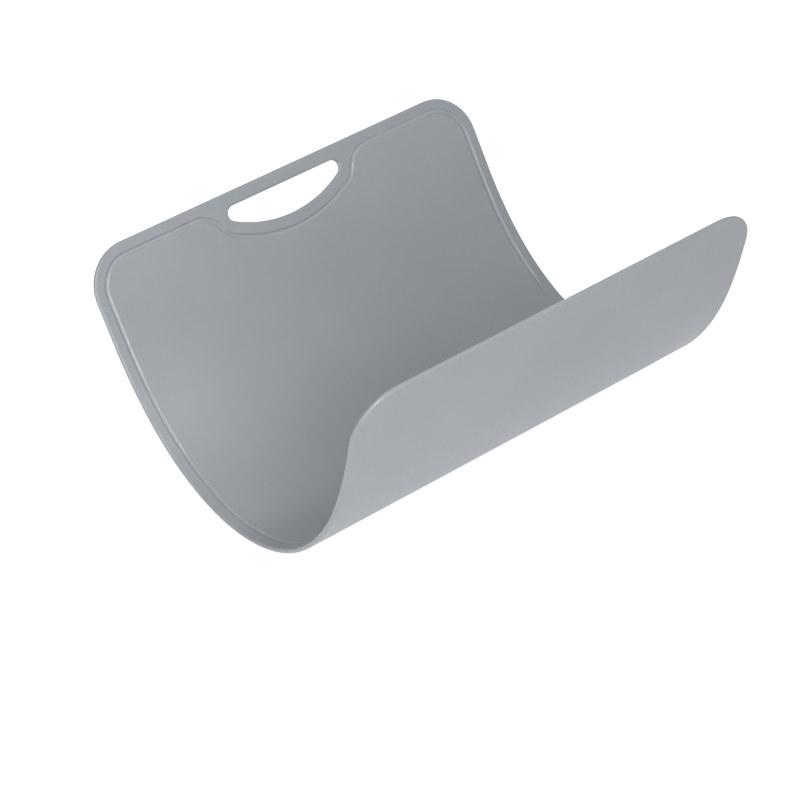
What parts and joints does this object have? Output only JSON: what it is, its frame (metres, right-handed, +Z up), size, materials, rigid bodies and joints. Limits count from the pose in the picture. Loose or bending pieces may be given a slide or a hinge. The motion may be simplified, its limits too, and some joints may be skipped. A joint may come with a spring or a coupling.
{
  "type": "flexible cutting mat",
  "caption": "Flexible grey cutting mat with rounded corners, a half-moon finger slot and a narrow juice groove that passes round the slot, curled into a trough to tip food.",
  "frame": {"origin": "under the middle of the belly strip, on which the curled mat stands", "axes": "+X along the handle edge, +Y from the handle edge towards the free edge, +Z up"},
  "size_m": [0.2, 0.1904, 0.1026],
  "materials": {
    "sheet": "matte to satin moulded elastomer"
  },
  "bodies": {
    "handle_end": {"handle_end": "sheet"},
    "handle_strip_8": {"handle_strip_8": "sheet"},
    "handle_strip_7": {"handle_strip_7": "sheet"},
    "handle_strip_6": {"handle_strip_6": "sheet"},
    "handle_strip_5": {"handle_strip_5": "sheet"},
    "handle_strip_4": {"handle_strip_4": "sheet"},
    "handle_strip_3": {"handle_strip_3": "sheet"},
    "handle_strip_2": {"handle_strip_2": "sheet"},
    "handle_strip_1": {"handle_strip_1": "sheet"},
    "belly_strip": {"belly_strip": "sheet"},
    "flap_strip_1": {"flap_strip_1": "sheet"},
    "flap_strip_2": {"flap_strip_2": "sheet"},
    "flap_strip_3": {"flap_strip_3": "sheet"},
    "flap_strip_4": {"flap_strip_4": "sheet"},
    "flap_strip_5": {"flap_strip_5": "sheet"},
    "flap_strip_6": {"flap_strip_6": "sheet"},
    "flap_strip_7": {"flap_strip_7": "sheet"},
    "flap_strip_8": {"flap_strip_8": "sheet"},
    "flap_strip_9": {"flap_strip_9": "sheet"},
    "free_end": {"free_end": "sheet"}
  },
  "joints": [
    {"name": "handle_bend_1", "type": "hinge", "parent": "belly_strip", "child": "handle_strip_1", "pos_m": [0, -0.006, 0.002], "axis": [-1, 0, 0], "range_deg": [-9.89, 8.41]},
    {"name": "handle_bend_2", "type": "hinge", "parent": "handle_strip_1", "child": "handle_strip_2", "pos_m": [0, -0.01782, 0.00406], "axis": [-1, 0, 0], "range_deg": [-9.82, 8.34]},
    {"name": "handle_bend_3", "type": "hinge", "parent": "handle_strip_2", "child": "handle_strip_3", "pos_m": [0, -0.02912, 0.00811], "axis": [-1, 0, 0], "range_deg": [-9.53, 8.1]},
    {"name": "handle_bend_4", "type": "hinge", "parent": "handle_strip_3", "child": "handle_strip_4", "pos_m": [0, -0.03959, 0.01397], "axis": [-1, 0, 0], "range_deg": [-9.03, 7.67]},
    {"name": "handle_bend_5", "type": "hinge", "parent": "handle_strip_4", "child": "handle_strip_5", "pos_m": [0, -0.04901, 0.0214], "axis": [-1, 0, 0], "range_deg": [-8.35, 7.1]},
    {"name": "handle_bend_6", "type": "hinge", "parent": "handle_strip_5", "child": "handle_strip_6", "pos_m": [0, -0.05726, 0.03012], "axis": [-1, 0, 0], "range_deg": [-7.52, 6.39]},
    {"name": "handle_bend_7", "type": "hinge", "parent": "handle_strip_6", "child": "handle_strip_7", "pos_m": [0, -0.06429, 0.03984], "axis": [-1, 0, 0], "range_deg": [-6.58, 5.59]},
    {"name": "handle_bend_8", "type": "hinge", "parent": "handle_strip_7", "child": "handle_strip_8", "pos_m": [0, -0.07016, 0.0503], "axis": [-1, 0, 0], "range_deg": [-5.56, 4.72]},
    {"name": "handle_bend_9", "type": "hinge", "parent": "handle_strip_8", "child": "handle_end", "pos_m": [0, -0.075, 0.06129], "axis": [-1, 0, 0], "range_deg": [-4.51, 3.83]},
    {"name": "flap_bend_1", "type": "hinge", "parent": "belly_strip", "child": "flap_strip_1", "pos_m": [0, 0.006, 0.002], "axis": [1, 0, 0], "range_deg": [-9.74, 8.28]},
    {"name": "flap_bend_2", "type": "hinge", "parent": "flap_strip_1", "child": "flap_strip_2", "pos_m": [0, 0.01783, 0.00403], "axis": [1, 0, 0], "range_deg": [-9.38, 7.97]},
    {"name": "flap_bend_3", "type": "hinge", "parent": "flap_strip_2", "child": "flap_strip_3", "pos_m": [0, 0.02916, 0.00796], "axis": [1, 0, 0], "range_deg": [-8.82, 7.5]},
    {"name": "flap_bend_4", "type": "hinge", "parent": "flap_strip_3", "child": "flap_strip_4", "pos_m": [0, 0.03977, 0.01358], "axis": [1, 0, 0], "range_deg": [-8.09, 6.88]},
    {"name": "flap_bend_5", "type": "hinge", "parent": "flap_strip_4", "child": "flap_strip_5", "pos_m": [0, 0.04947, 0.02064], "axis": [1, 0, 0], "range_deg": [-7.22, 6.13]},
    {"name": "flap_bend_6", "type": "hinge", "parent": "flap_strip_5", "child": "flap_strip_6", "pos_m": [0, 0.05821, 0.02886], "axis": [1, 0, 0], "range_deg": [-6.24, 5.31]},
    {"name": "flap_bend_7", "type": "hinge", "parent": "flap_strip_6", "child": "flap_strip_7", "pos_m": [0, 0.06601, 0.03799], "axis": [1, 0, 0], "range_deg": [-5.21, 4.43]},
    {"name": "flap_bend_8", "type": "hinge", "parent": "flap_strip_7", "child": "flap_strip_8", "pos_m": [0, 0.07294, 0.04778], "axis": [1, 0, 0], "range_deg": [-4.17, 3.54]},
    {"name": "flap_bend_9", "type": "hinge", "parent": "flap_strip_8", "child": "flap_strip_9", "pos_m": [0, 0.07915, 0.05805], "axis": [1, 0, 0], "range_deg": [-3.16, 2.68]},
    {"name": "flap_bend_10", "type": "hinge", "parent": "flap_strip_9", "child": "free_end", "pos_m": [0, 0.08478, 0.06865], "axis": [1, 0, 0], "range_deg": [-2.23, 1.89]}
  ],
  "couplings": [
    {"joint": "handle_bend_2", "follows": "handle_bend_1", "ratio": 0.99254},
    {"joint": "handle_bend_3", "follows": "handle_bend_1", "ratio": 0.96308},
    {"joint": "handle_bend_4", "follows": "handle_bend_1", "ratio": 0.91293},
    {"joint": "handle_bend_5", "follows": "handle_bend_1", "ratio": 0.84433},
    {"joint": "handle_bend_6", "follows": "handle_bend_1", "ratio": 0.76036},
    {"joint": "handle_bend_7", "follows": "handle_bend_1", "ratio": 0.66475},
    {"joint": "handle_bend_8", "follows": "handle_bend_1", "ratio": 0.56179},
    {"joint": "handle_bend_9", "follows": "handle_bend_1", "ratio": 0.45608},
    {"joint": "flap_bend_2", "follows": "flap_bend_1", "ratio": 0.9629},
    {"joint": "flap_bend_3", "follows": "flap_bend_1", "ratio": 0.90545},
    {"joint": "flap_bend_4", "follows": "flap_bend_1", "ratio": 0.83023},
    {"joint": "flap_bend_5", "follows": "flap_bend_1", "ratio": 0.7406},
    {"joint": "flap_bend_6", "follows": "flap_bend_1", "ratio": 0.64056},
    {"joint": "flap_bend_7", "follows": "flap_bend_1", "ratio": 0.53458},
    {"joint": "flap_bend_8", "follows": "flap_bend_1", "ratio": 0.4274},
    {"joint": "flap_bend_9", "follows": "flap_bend_1", "ratio": 0.32381},
    {"joint": "flap_bend_10", "follows": "flap_bend_1", "ratio": 0.22844}
  ]
}
